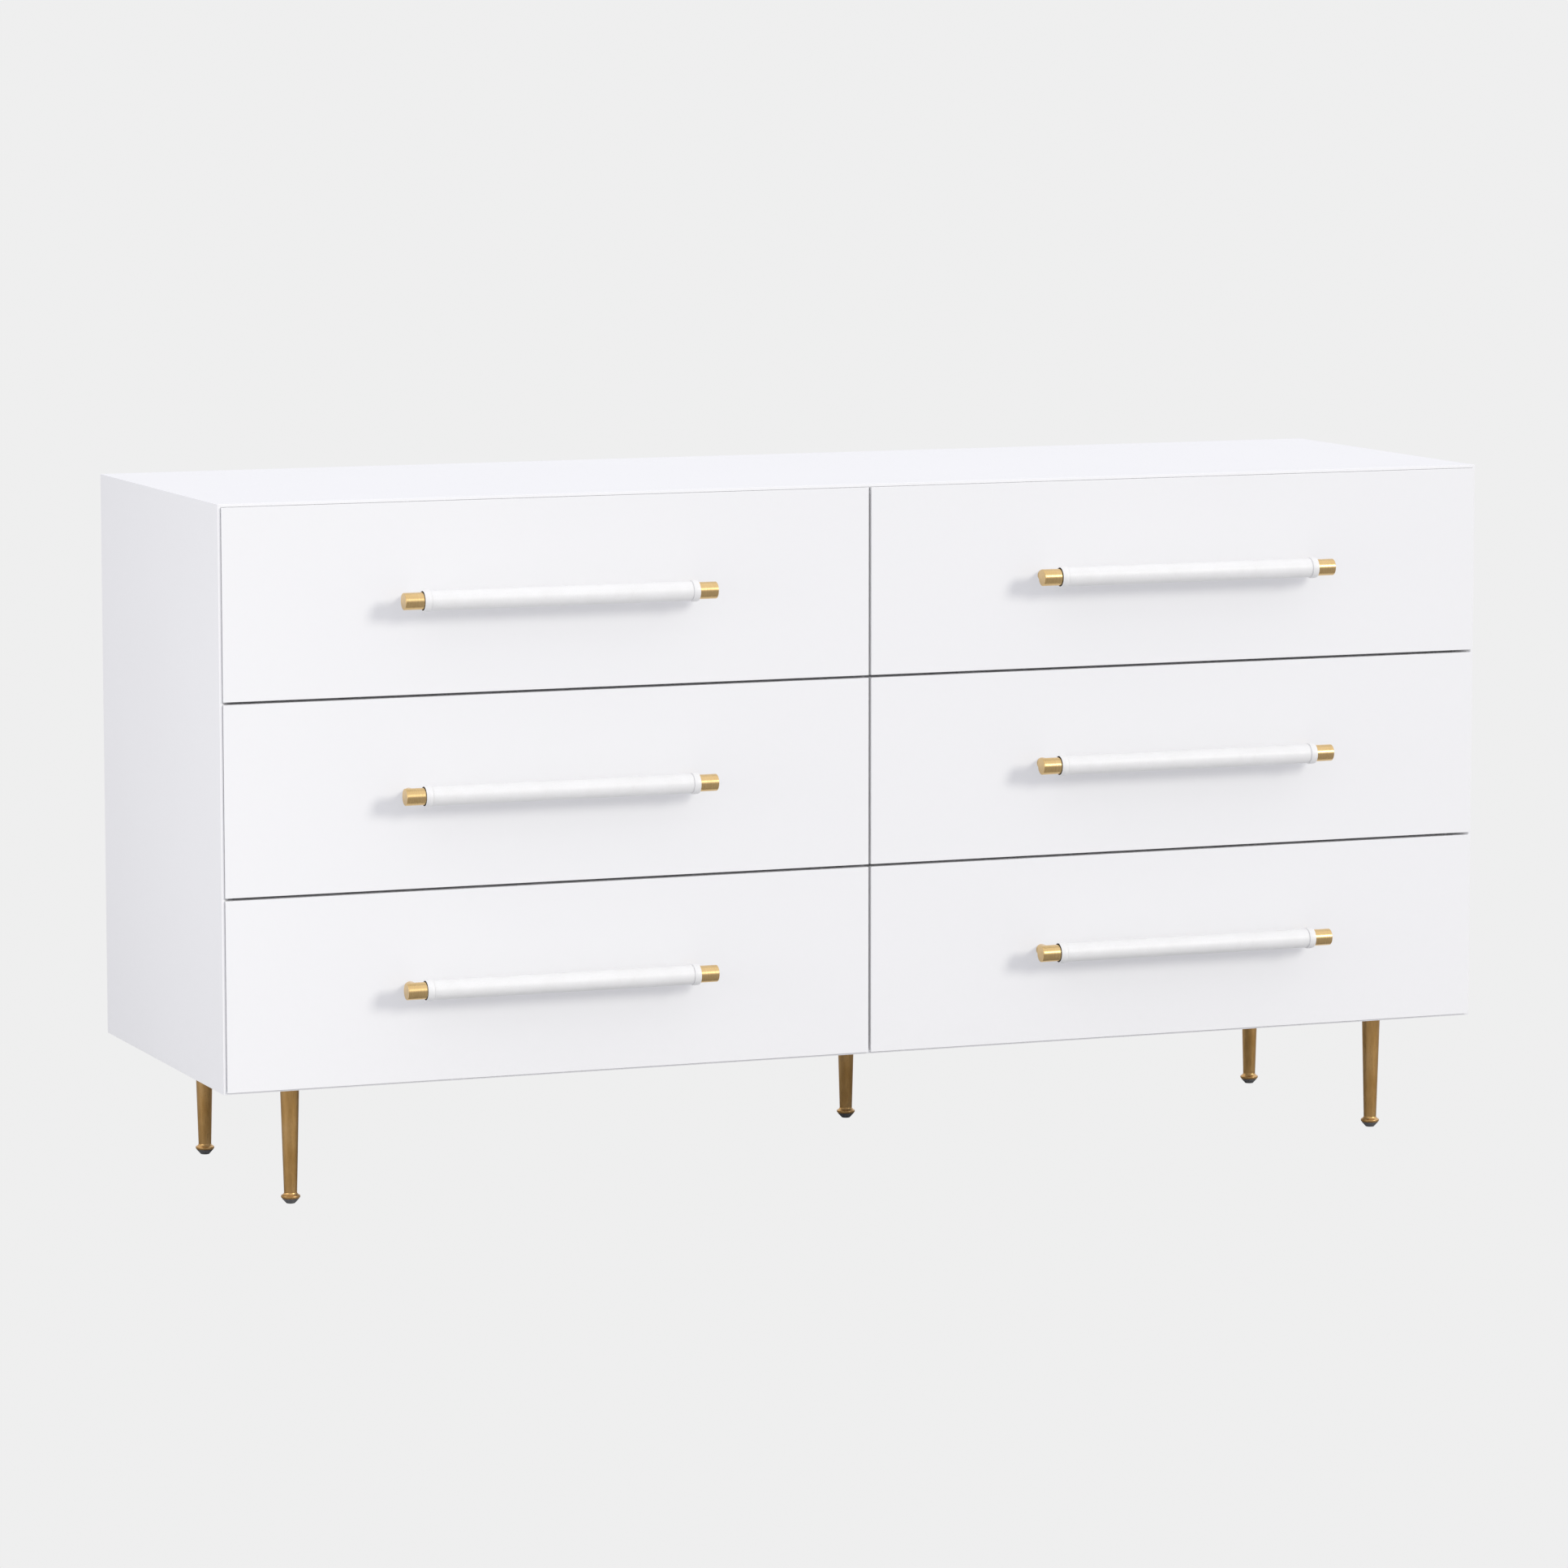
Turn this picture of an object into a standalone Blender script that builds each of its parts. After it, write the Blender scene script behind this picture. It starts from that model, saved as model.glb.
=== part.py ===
"""A six-drawer dresser: a white lacquered box on slim brass legs.

Three rows of two drawers sit inside four mitred case panels. Each drawer runs on a pair of
steel side runners and has a brass bar handle with a leather wrap. All sizes are in metres,
+Z is up, -Y is the front, and the origin is on the floor below the middle of the dresser.
"""
import math

import bmesh
import bpy
from mathutils import Matrix, Vector

# The whole dresser
CASE_WIDTH = 1.524
CASE_DEPTH = 0.465
CASE_HEIGHT = 0.648
LEG_HEIGHT = 0.1375
ROWS = ("top", "middle", "bottom")
COLUMNS = ("left", "right")
FIT_GAP = 0.0003

# Case panels, mitred at their ends and along their front edges
PANEL = 0.019
KNIFE_EDGE = 0.0030
BACK_PANEL = 0.006
BACK_INSET = 0.004
RAIL_DEPTH = 0.045

# Drawer fronts, nested inside the mitred front edges
FRONT_THICKNESS = 0.019
FRONT_PROUD = 0.003
FRONT_GAP = 0.003
REVEAL_SIDE = 0.00375
REVEAL_TOP = 0.00375
REVEAL_BOTTOM = 0.002
MITRE_GAP = 0.0006
BEHIND_FRONT = 0.002

# Drawer boxes
SIDE_BOARD = 0.012
BOX_LENGTH = 0.400
BOX_HEIGHT = 0.150
BOX_LIFT = 0.028
BOX_BACK_DROP = 0.012
BOTTOM_BOARD = 0.006
BOTTOM_LIFT = 0.010
GROOVE_DEPTH = 0.006

# Side runners: a channel on the case and a smaller one on the drawer, nested in it.
# Each is one solid with the board that it is screwed to.
RUNNER_SPACE = 0.0127
RUNNER_WALL = 0.0012
RUNNER_ROOT = 0.0005
CASE_CHANNEL_HEIGHT = 0.045
CASE_CHANNEL_DEPTH = 0.0105
DRAWER_CHANNEL_HEIGHT = 0.034
DRAWER_CHANNEL_DEPTH = 0.0085
RUNNER_HEIGHT_ON_BOX = 0.060

# Handles
HANDLE_LENGTH = 0.365
BAR_RADIUS = 0.0095
BAR_STANDOFF = 0.034
POST_RADIUS = 0.0065
POST_INSET = 0.0145
WRAP_RADIUS = 0.0109
FOLD_RADIUS = 0.0120
FOLD_LENGTH = 0.0077
BARE_END = 0.022
ROUND_SEGMENTS = 24
POST_SEGMENTS = 16

# Legs
LEG_SIDE_INSET = 0.0953
LEG_FRONT_INSET = 0.065
LEG_BACK_INSET = 0.068
CENTRE_LEG_OFFSET = 0.114
CENTRE_LEG_FROM_FRONT = 0.3515
LEG_TOP_RADIUS = 0.0107
LEG_ANKLE_RADIUS = 0.0073
LEG_ANKLE_HEIGHT = 0.0108
COLLAR_RADIUS = 0.0107
COLLAR_HEIGHT = 0.0080
COLLAR_THICKNESS = 0.0014
GLIDE_HEIGHT = 0.0055
GLIDE_TOP_RADIUS = 0.0098
GLIDE_FOOT_RADIUS = 0.0048

# Derived places
HANDLE_REACH = BAR_STANDOFF + FOLD_RADIUS
CASE_FRONT = (HANDLE_REACH - CASE_DEPTH) / 2
CASE_BACK = CASE_FRONT + CASE_DEPTH
CASE_BOTTOM = LEG_HEIGHT
CASE_TOP = LEG_HEIGHT + CASE_HEIGHT
CASE_MIDDLE = (CASE_BOTTOM + CASE_TOP) / 2
FRONT_BACK = FRONT_THICKNESS - FRONT_PROUD
INNER_FRONT = CASE_FRONT + FRONT_BACK + BEHIND_FRONT
INNER_BACK = CASE_BACK - BACK_INSET - BACK_PANEL - FIT_GAP
FRONT_WIDTH = CASE_WIDTH / 2 - REVEAL_SIDE - FRONT_GAP / 2
FRONT_HEIGHT = (CASE_HEIGHT - REVEAL_TOP - REVEAL_BOTTOM - 2 * FRONT_GAP) / 3
FRONT_CENTRE = (FRONT_GAP + FRONT_WIDTH) / 2
BAY_WIDTH = (CASE_WIDTH - 3 * PANEL) / 2
BAY_CENTRE = (PANEL + BAY_WIDTH) / 2
BOX_WIDTH = BAY_WIDTH - 2 * RUNNER_SPACE
BOX_START = FRONT_BACK + FIT_GAP

# Materials: colour, metallic, roughness
MATERIALS = {
    "white_lacquer": ((0.85, 0.85, 0.86), 0.0, 0.30),
    "drawer_board": ((0.72, 0.59, 0.43), 0.0, 0.50),
    "satin_brass": ((0.84, 0.58, 0.27), 1.0, 0.28),
    "antique_brass": ((0.55, 0.33, 0.13), 1.0, 0.33),
    "white_leather": ((0.80, 0.80, 0.80), 0.0, 0.50),
    "grey_plastic": ((0.13, 0.13, 0.14), 0.0, 0.55),
}


def clear_scene():
    for thing in list(bpy.data.objects):
        bpy.data.objects.remove(thing, do_unlink=True)


def new_collection(name):
    collection = bpy.data.collections.new(name)
    bpy.context.scene.collection.children.link(collection)
    return collection


def make_material(name, colour, metallic, roughness):
    material = bpy.data.materials.new(name)
    material.use_nodes = True
    shader = material.node_tree.nodes["Principled BSDF"]
    shader.inputs["Base Color"].default_value = (*colour, 1.0)
    shader.inputs["Metallic"].default_value = metallic
    shader.inputs["Roughness"].default_value = roughness
    material.diffuse_color = (*colour, 1.0)
    return material


def place(thing, name, material, place_at=(0, 0, 0), parent=None):
    """Name an object, give it its material and stand it at its place."""
    thing.name = name
    thing.data.name = name
    thing.data.materials.clear()
    thing.data.materials.append(bpy.data.materials[material])
    thing.location = place_at
    thing.parent = parent
    parts.objects.link(thing)
    return thing


def mesh_object(bm):
    bmesh.ops.recalc_face_normals(bm, faces=bm.faces)
    mesh = bpy.data.meshes.new("mesh")
    bm.to_mesh(mesh)
    bm.free()
    return bpy.data.objects.new("object", mesh)


def add_box(bm, low, high):
    """Add a box between two opposite corners."""
    low, high = Vector(low), Vector(high)
    middle = Matrix.Translation((low + high) / 2)
    size = Matrix.Diagonal((*(high - low), 1.0))
    bmesh.ops.create_cube(bm, size=1.0, matrix=middle @ size)


def add_cylinder(bm, radius, length, centre, turn, segments=ROUND_SEGMENTS):
    """Add a capped cylinder around its centre, turned from +Z by a matrix."""
    bmesh.ops.create_cone(bm, cap_ends=True, segments=segments, radius1=radius, radius2=radius,
                          depth=length, matrix=Matrix.Translation(centre) @ turn)


def saw_cut(bm, point, normal):
    """Cut everything off that lies beyond a plane, and close the cut."""
    whole = bm.verts[:] + bm.edges[:] + bm.faces[:]
    cut = bmesh.ops.bisect_plane(bm, geom=whole, plane_co=point, plane_no=normal,
                                 clear_outer=True)
    rim = [piece for piece in cut["geom_cut"] if isinstance(piece, bmesh.types.BMEdge)]
    bmesh.ops.holes_fill(bm, edges=rim)


def combine(base, tool, operation):
    """Join two solids that share a frame, or cut one by the other, into a new object."""
    for piece in (base, tool):
        cutters.objects.link(piece)
        piece.hide_render = True
        piece.display_type = "WIRE"
    change = base.modifiers.new("combine", "BOOLEAN")
    change.operation = operation
    change.solver = "EXACT"
    change.object = tool
    shown = base.evaluated_get(bpy.context.evaluated_depsgraph_get())
    mesh = bpy.data.meshes.new_from_object(shown)
    for piece in (base, tool):
        bpy.data.objects.remove(piece)
    return bpy.data.objects.new("object", mesh)


def turned(profile, closed=False):
    """Turn a profile of (radius, height) points, listed from the top down, around Z."""
    mesh = bpy.data.meshes.new("mesh")
    points = [(radius, 0, height) for radius, height in profile]
    edges = [(i, i + 1) for i in range(len(points) - 1)]
    if closed:
        edges.append((len(points) - 1, 0))
    mesh.from_pydata(points, edges, [])
    thing = bpy.data.objects.new("object", mesh)
    spin = thing.modifiers.new("turn", "SCREW")
    spin.steps = ROUND_SEGMENTS
    spin.render_steps = ROUND_SEGMENTS
    spin.use_merge_vertices = True
    spin.merge_threshold = 0.00001
    return thing


def channel_outline(height, depth):
    """A C section that opens towards +X, its web rooted just inside the board at x = 0."""
    h = height / 2
    wall = RUNNER_WALL
    return [(-RUNNER_ROOT, -h), (depth, -h), (depth, wall - h), (wall, wall - h),
            (wall, h - wall), (depth, h - wall), (depth, h), (-RUNNER_ROOT, h)]


def board_outline():
    """A drawer side's section: a board with a groove for the bottom panel in its +X face."""
    floor = BOTTOM_LIFT - FIT_GAP
    ceiling = BOTTOM_LIFT + BOTTOM_BOARD + FIT_GAP
    hollow = SIDE_BOARD - GROOVE_DEPTH
    return [(0, 0), (SIDE_BOARD, 0), (SIDE_BOARD, floor), (hollow, floor),
            (hollow, ceiling), (SIDE_BOARD, ceiling), (SIDE_BOARD, BOX_HEIGHT), (0, BOX_HEIGHT)]


def add_extrusion(bm, outline, start, length, faces_right=True):
    """Run an XZ outline along +Y from its start, mirrored in X if it faces left."""
    side = 1 if faces_right else -1
    corners = [bm.verts.new((start[0] + side * x, start[1], start[2] + z)) for x, z in outline]
    face = bm.faces.new(corners)
    run = bmesh.ops.extrude_face_region(bm, geom=[face])
    moved = [piece for piece in run["geom"] if isinstance(piece, bmesh.types.BMVert)]
    bmesh.ops.translate(bm, verts=moved, vec=(0, length, 0))


# ---- the case ---------------------------------------------------------------------------

def row_floor(row):
    """Half a gap below a row of fronts: the middle of the gap, where another row follows."""
    return CASE_TOP - REVEAL_TOP - (row + 1) * (FRONT_HEIGHT + FRONT_GAP) + FRONT_GAP / 2


def runner_heights():
    return [row_floor(row) + BOX_LIFT + RUNNER_HEIGHT_ON_BOX for row in range(len(ROWS))]


def case_channels(places):
    """Case runners from (x, y, z, faces_right) places, as one tool to join to a board."""
    bm = bmesh.new()
    outline = channel_outline(CASE_CHANNEL_HEIGHT, CASE_CHANNEL_DEPTH)
    for x, y, z, faces_right in places:
        add_extrusion(bm, outline, (x, y, z), BOX_LENGTH, faces_right)
    return mesh_object(bm)


def case_panel(length):
    """A panel with its outer face at x = 0, its front edge at y = 0 and its length along Z."""
    bm = bmesh.new()
    add_box(bm, (0, 0, -length / 2), (PANEL, CASE_DEPTH, length / 2))
    for end in (-1, 1):
        saw_cut(bm, (0, 0, end * (length / 2 - FIT_GAP)), (1, 0, end))
    saw_cut(bm, (KNIFE_EDGE, 0, 0), (1, -1, 0))
    return mesh_object(bm)


def side_panel(up):
    """A case panel with its three runners. up is -1 where the panel stands upside down."""
    start = INNER_FRONT - CASE_FRONT
    places = [(PANEL, start, up * (z - CASE_MIDDLE), True) for z in runner_heights()]
    return combine(case_panel(CASE_HEIGHT), case_channels(places), "UNION")


def front_rail(row):
    """A rail across the whole case, behind the gap under a row of fronts."""
    reach = CASE_WIDTH / 2 - PANEL - FIT_GAP
    z = row_floor(row)
    bm = bmesh.new()
    add_box(bm, (-reach, INNER_FRONT, z - PANEL / 2),
            (reach, INNER_FRONT + RAIL_DEPTH, z + PANEL / 2))
    return mesh_object(bm)


def centre_divider():
    """The upright between the two columns, notched over the rails, with runners on both faces."""
    low, high = CASE_BOTTOM + PANEL + FIT_GAP, CASE_TOP - PANEL - FIT_GAP
    bm = bmesh.new()
    add_box(bm, (-PANEL / 2, INNER_FRONT, low), (PANEL / 2, INNER_BACK, high))
    board = mesh_object(bm)
    bm = bmesh.new()
    for row in (0, 1):
        z = row_floor(row)
        add_box(bm, (-PANEL, INNER_FRONT - PANEL, z - PANEL / 2 - FIT_GAP),
                (PANEL, INNER_FRONT + RAIL_DEPTH + FIT_GAP, z + PANEL / 2 + FIT_GAP))
    board = combine(board, mesh_object(bm), "DIFFERENCE")
    places = [(side * PANEL / 2, INNER_FRONT, z, side > 0)
              for z in runner_heights() for side in (-1, 1)]
    return combine(board, case_channels(places), "UNION")


def build_case():
    half = CASE_WIDTH / 2
    panels = (("case_left_side", side_panel(1), 0, (-half, CASE_FRONT, CASE_MIDDLE)),
              ("case_top", case_panel(CASE_WIDTH), 90, (0, CASE_FRONT, CASE_TOP)),
              ("case_right_side", side_panel(-1), 180, (half, CASE_FRONT, CASE_MIDDLE)),
              ("case_bottom", case_panel(CASE_WIDTH), 270, (0, CASE_FRONT, CASE_BOTTOM)))
    for name, panel, turn, centre in panels:
        place(panel, name, "white_lacquer", centre)
        panel.rotation_euler.y = math.radians(turn)

    inner = half - PANEL - FIT_GAP
    bm = bmesh.new()
    add_box(bm, (-inner, INNER_BACK + FIT_GAP, CASE_BOTTOM + PANEL + FIT_GAP),
            (inner, CASE_BACK - BACK_INSET, CASE_TOP - PANEL - FIT_GAP))
    place(mesh_object(bm), "case_back", "white_lacquer")
    place(centre_divider(), "case_centre_divider", "white_lacquer")
    place(front_rail(0), "case_upper_rail", "white_lacquer")
    place(front_rail(1), "case_lower_rail", "white_lacquer")


# ---- the drawers ------------------------------------------------------------------------

def drawer_front(row, column):
    """A slab in the drawer's own frame, bevelled where it nests against the case's mitred edges."""
    outward = 1 if column == "right" else -1
    low, high = FRONT_GAP / 2, FRONT_GAP / 2 + FRONT_HEIGHT
    half = FRONT_WIDTH / 2
    inset = KNIFE_EDGE + MITRE_GAP * math.sqrt(2)
    bm = bmesh.new()
    add_box(bm, (-half, -FRONT_PROUD, low), (half, FRONT_BACK, high))
    saw_cut(bm, (outward * (half + REVEAL_SIDE - inset), 0, 0), (outward, 1, 0))
    if row == "top":
        saw_cut(bm, (0, 0, high + REVEAL_TOP - inset), (0, 1, 1))
    if row == "bottom":
        saw_cut(bm, (0, 0, low - REVEAL_BOTTOM + inset), (0, 1, -1))
    return mesh_object(bm)


def drawer_side(centre, side):
    """A grooved side board with its runner, to the left (-1) or right (1) of the box's centre."""
    x = centre + side * BOX_WIDTH / 2
    bm = bmesh.new()
    add_extrusion(bm, board_outline(), (x, BOX_START, BOX_LIFT), BOX_LENGTH, faces_right=side < 0)
    board = mesh_object(bm)
    bm = bmesh.new()
    outline = channel_outline(DRAWER_CHANNEL_HEIGHT, DRAWER_CHANNEL_DEPTH)
    start = (x, BOX_START + BEHIND_FRONT, BOX_LIFT + RUNNER_HEIGHT_ON_BOX)
    add_extrusion(bm, outline, start, BOX_LENGTH - BEHIND_FRONT, faces_right=side > 0)
    return combine(board, mesh_object(bm), "UNION")


def drawer_back(centre):
    half = BOX_WIDTH / 2 - SIDE_BOARD - FIT_GAP
    end = BOX_START + BOX_LENGTH
    low = BOX_LIFT + BOTTOM_LIFT + BOTTOM_BOARD + FIT_GAP
    bm = bmesh.new()
    add_box(bm, (centre - half, end - SIDE_BOARD, low),
            (centre + half, end, BOX_LIFT + BOX_HEIGHT - BOX_BACK_DROP))
    return mesh_object(bm)


def drawer_bottom(centre):
    half = BOX_WIDTH / 2 - SIDE_BOARD + GROOVE_DEPTH - FIT_GAP
    low = BOX_LIFT + BOTTOM_LIFT
    bm = bmesh.new()
    add_box(bm, (centre - half, BOX_START, low),
            (centre + half, BOX_START + BOX_LENGTH, low + BOTTOM_BOARD))
    return mesh_object(bm)


def handle_bar():
    """A round bar along X, with two posts that run from its axis back to the drawer front."""
    along = Matrix.Rotation(math.pi / 2, 4, "Y")
    backward = Matrix.Rotation(math.pi / 2, 4, "X")
    reach = BAR_STANDOFF - FRONT_PROUD - FIT_GAP
    bm = bmesh.new()
    add_cylinder(bm, BAR_RADIUS, HANDLE_LENGTH, (0, 0, 0), along)
    bar = mesh_object(bm)
    bm = bmesh.new()
    for side in (-1, 1):
        centre = (side * (HANDLE_LENGTH / 2 - POST_INSET), reach / 2, 0)
        add_cylinder(bm, POST_RADIUS, reach, centre, backward, POST_SEGMENTS)
    return combine(bar, mesh_object(bm), "UNION")


def handle_wrap():
    """The leather sleeve around Z, just clear of the bar and thicker where its ends fold in."""
    inner = BAR_RADIUS + FIT_GAP
    end = HANDLE_LENGTH / 2 - BARE_END
    fold = end - FOLD_LENGTH
    return turned([(inner, end), (FOLD_RADIUS, end), (FOLD_RADIUS, fold), (WRAP_RADIUS, fold),
                   (WRAP_RADIUS, -fold), (FOLD_RADIUS, -fold), (FOLD_RADIUS, -end),
                   (inner, -end)], closed=True)


def build_drawer(row_number, row, column, bar_mesh):
    outward = 1 if column == "right" else -1
    name = f"drawer_{row}_{column}"
    slide = bpy.data.objects.new(name + "_slide", None)
    slide.location = (outward * FRONT_CENTRE, CASE_FRONT, row_floor(row_number))
    parts.objects.link(slide)
    centre = outward * (BAY_CENTRE - FRONT_CENTRE)
    corner = (0, 0, 0)
    grip = (0, -BAR_STANDOFF, (FRONT_GAP + FRONT_HEIGHT) / 2)
    wrap = handle_wrap()
    wrap.rotation_euler.y = math.pi / 2
    pieces = ((drawer_front(row, column), "front", "white_lacquer", corner),
              (drawer_side(centre, -1), "side_left", "drawer_board", corner),
              (drawer_side(centre, 1), "side_right", "drawer_board", corner),
              (drawer_back(centre), "back", "drawer_board", corner),
              (drawer_bottom(centre), "bottom", "drawer_board", corner),
              (bpy.data.objects.new("bar", bar_mesh.copy()), "handle_bar", "satin_brass", grip),
              (wrap, "handle_wrap", "white_leather", grip))
    for piece, title, material, place_at in pieces:
        place(piece, f"{name}_{title}", material, place_at, slide)


def build_drawers():
    bar_mesh = handle_bar().data
    for row_number, row in enumerate(ROWS):
        for column in COLUMNS:
            build_drawer(row_number, row, column, bar_mesh)


# ---- the legs ---------------------------------------------------------------------------

def leg_places():
    half = CASE_WIDTH / 2
    side = half - LEG_SIDE_INSET
    front = CASE_FRONT + LEG_FRONT_INSET
    back = CASE_BACK - LEG_BACK_INSET
    return {"front_left": (-side, front), "front_right": (side, front),
            "back_left": (-side, back), "back_right": (side, back),
            "centre": (CENTRE_LEG_OFFSET, CASE_FRONT + CENTRE_LEG_FROM_FRONT)}


def leg_profile():
    base = GLIDE_HEIGHT + FIT_GAP
    neck = (LEG_ANKLE_RADIUS + COLLAR_RADIUS) / 2
    rim = COLLAR_THICKNESS / 2
    return [(0, LEG_HEIGHT - FIT_GAP), (LEG_TOP_RADIUS, LEG_HEIGHT - FIT_GAP),
            (LEG_ANKLE_RADIUS, LEG_ANKLE_HEIGHT), (neck, COLLAR_HEIGHT + 2 * rim),
            (COLLAR_RADIUS, COLLAR_HEIGHT + rim), (COLLAR_RADIUS, COLLAR_HEIGHT - rim),
            (GLIDE_TOP_RADIUS, base), (0, base)]


def glide_profile():
    return [(0, GLIDE_HEIGHT), (GLIDE_TOP_RADIUS, GLIDE_HEIGHT), (GLIDE_FOOT_RADIUS, 0), (0, 0)]


def build_legs():
    for name, (x, y) in leg_places().items():
        place(turned(leg_profile()), f"leg_{name}", "antique_brass", (x, y, 0))
        place(turned(glide_profile()), f"glide_{name}", "grey_plastic", (x, y, 0))


clear_scene()
for slot, look in MATERIALS.items():
    make_material(slot, *look)
parts = new_collection("dresser")
cutters = new_collection("cutters")
build_case()
build_drawers()
build_legs()
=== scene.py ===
"""The six-drawer dresser's finished surfaces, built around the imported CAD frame.

The case is one mitred lacquered shell, each drawer is a plywood box behind a lacquered slab,
the handles are satin brass in a leather wrap, and the legs are turned brass. All sizes are in
metres, in the frame's own axes: +Z up and -Y to the front.
"""
import math

import bmesh
import bpy
from mathutils import Matrix, Vector


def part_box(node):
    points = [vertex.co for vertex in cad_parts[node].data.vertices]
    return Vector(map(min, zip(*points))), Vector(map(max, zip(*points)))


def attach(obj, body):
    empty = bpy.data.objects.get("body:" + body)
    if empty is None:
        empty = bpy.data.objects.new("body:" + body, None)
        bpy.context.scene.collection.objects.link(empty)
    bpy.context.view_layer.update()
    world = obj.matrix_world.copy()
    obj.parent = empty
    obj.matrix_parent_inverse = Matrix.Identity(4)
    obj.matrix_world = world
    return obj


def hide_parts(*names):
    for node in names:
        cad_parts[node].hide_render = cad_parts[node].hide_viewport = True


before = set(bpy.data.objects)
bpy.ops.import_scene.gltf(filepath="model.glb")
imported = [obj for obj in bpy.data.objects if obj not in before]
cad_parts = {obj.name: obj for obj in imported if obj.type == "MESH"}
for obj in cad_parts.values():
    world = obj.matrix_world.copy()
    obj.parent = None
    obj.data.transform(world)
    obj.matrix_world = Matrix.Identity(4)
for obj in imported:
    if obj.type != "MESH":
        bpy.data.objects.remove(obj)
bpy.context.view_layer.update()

# The camera
CAMERA_PLACE = (-2.842, -7.1714, 1.373)
CAMERA_TURN = (82.97, 0.04, -21.48)
CAMERA_LENS = 153.97

# The studio
BACKDROP = (0.862, 0.862, 0.862)
SKY_HIGH = (1.14, 1.14, 1.18)
SKY_LOW = (0.77, 0.77, 0.82)
FLOOR_COLOUR = (0.56, 0.56, 0.57)
FLOOR_IN_METAL = (0.38, 0.37, 0.36)
FLOOR_REACH = 400.0
KEY_FROM = (0.75, -1.0, 0.47)
KEY_STRENGTH = 1.10
KEY_COLOUR = (1.0, 0.98, 0.91)
KEY_SOFTNESS = 16
FILL_PLACE = (-2.2, -0.48, 0.66)
FILL_POWER = 6.3
FILL_SIZE = 0.9

# Boards and fronts
PANEL = 0.019
KNIFE_EDGE = 0.0030
ARRIS = 0.0004
BOARD_ARRIS = 0.0006
SIDE_BOARD = 0.012
BOARD_TOP_ROUND = 0.003
GROOVE_DEPTH = 0.006
BOTTOM_LIFT = 0.010
BOTTOM_BOARD = 0.006
FIT_GAP = 0.0003

# Runners
RUNNER_WALL = 0.0012
RUNNER_LIP = 0.0005
CASE_CHANNEL = (0.045, 0.0105)
DRAWER_CHANNEL = (0.034, 0.0085)
RUNNER_HEIGHT_ON_BOX = 0.060
RUNNER_SCREWS = (-0.165, -0.035, 0.150)
BEHIND_FRONT = 0.002

# Screws and washers
SCREW_RADIUS = 0.0036
SCREW_HEIGHT = 0.0016
SCREW_DOME = ((0, 1), (0.45, 0.98), (0.80, 0.72), (1, 0.25), (1, 0), (0, 0))
SCREW_EDGE_ROUND = 0.1
RECESS_REACH = 0.55
RECESS_HALF_WIDTH = 0.09
SCREW_SEGMENTS = 28
WASHER_RADIUS = 0.0060
WASHER_THICKNESS = 0.0010
WASHER_ROUND = 0.0003
WASHER_SEGMENTS = 32
BACK_SCREW_INSET = 0.012
BACK_SCREW_COLUMNS = 9
BACK_SCREW_ROWS = 5

# Handles
BAR_RADIUS = 0.0095
BAR_END_ROUND = 0.0008
POST_RADIUS = 0.0065
POST_INSET = 0.0145
SLEEVE_RADIUS = 0.0109
FOLD_RADIUS = 0.0120
FOLD_END_RADIUS = 0.0115
FOLD_LENGTH = 0.0077
FOLD_MOUTH_RADIUS = 0.0107
FOLD_MOUTH_DEPTH = 0.006
FOLD_MOUTH_FLOOR = 0.0065
FOLD_CROWN = 0.0035
FOLD_TAPER = 0.0001
SEAM_GROOVE = 0.0004
SEAM_GROOVE_WIDTH = 0.0006
SLEEVE_RINGS = 26
# How far into each fold's mouth the near-black painted shade reaches
PAINTED_SHADE_MOUTH_DEPTH = 0.0078
SLEEVE_RIPPLE = 0.00006
LAP_HEIGHT = 0.00022
LAP_HALF_ANGLE = math.radians(24)
SEAM_TILT = math.radians(-20)
STITCH_PITCH = 0.0036
STITCH_LENGTH = 0.0022
STITCH_RADIUS = 0.00032

# Legs
LEG_TOP_RADIUS = 0.0107
LEG_ANKLE = (0.0073, 0.0116)
LEG_FLARE = (0.0089, 0.0097)
COLLAR_RADIUS = 0.0107
COLLAR_TOP = 0.0088
COLLAR_FOOT = 0.0069
GLIDE_TOP_RADIUS = 0.0098
GLIDE_FOOT_RADIUS = 0.0048

SMOOTH_ANGLE = math.radians(30)
ROUND_SEGMENTS = 72
POST_SEGMENTS = 48
X, Y, Z = Vector((1, 0, 0)), Vector((0, 1, 0)), Vector((0, 0, 1))
SEAM_FACING = Vector((0, math.cos(SEAM_TILT), math.sin(SEAM_TILT)))
ROWS = ("top", "middle", "bottom")
COLUMNS = ("left", "right")
DRAWERS = [f"drawer_{row}_{column}" for row in ROWS for column in COLUMNS]


# ---- materials --------------------------------------------------------------------------

def add_node(tree, kind, inputs=(), **settings):
    """Add a node. An input is a value, or an output socket that it is linked from."""
    node = tree.nodes.new(kind)
    for key, value in settings.items():
        setattr(node, key, value)
    for key, value in dict(inputs).items():
        if isinstance(value, bpy.types.NodeSocket):
            tree.links.new(value, node.inputs[key])
        else:
            node.inputs[key].default_value = value
    return node


def new_surface(name, **sockets):
    """A material, its node tree and its shader, with fixed values on the shader's sockets."""
    material = bpy.data.materials.new(name)
    material.use_nodes = True
    shader = material.node_tree.nodes["Principled BSDF"]
    for title, value in sockets.items():
        shader.inputs[title.replace("_", " ")].default_value = value
    return material, material.node_tree, shader


def piece_space(tree, scale, stretch=(1, 1, 1)):
    """Coordinates fixed to the piece, in metres times a scale along each axis."""
    place = add_node(tree, "ShaderNodeTexCoord").outputs["Object"]
    spread = [scale * along for along in stretch]
    return add_node(tree, "ShaderNodeMapping", {"Vector": place, "Scale": spread}).outputs[0]


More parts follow.
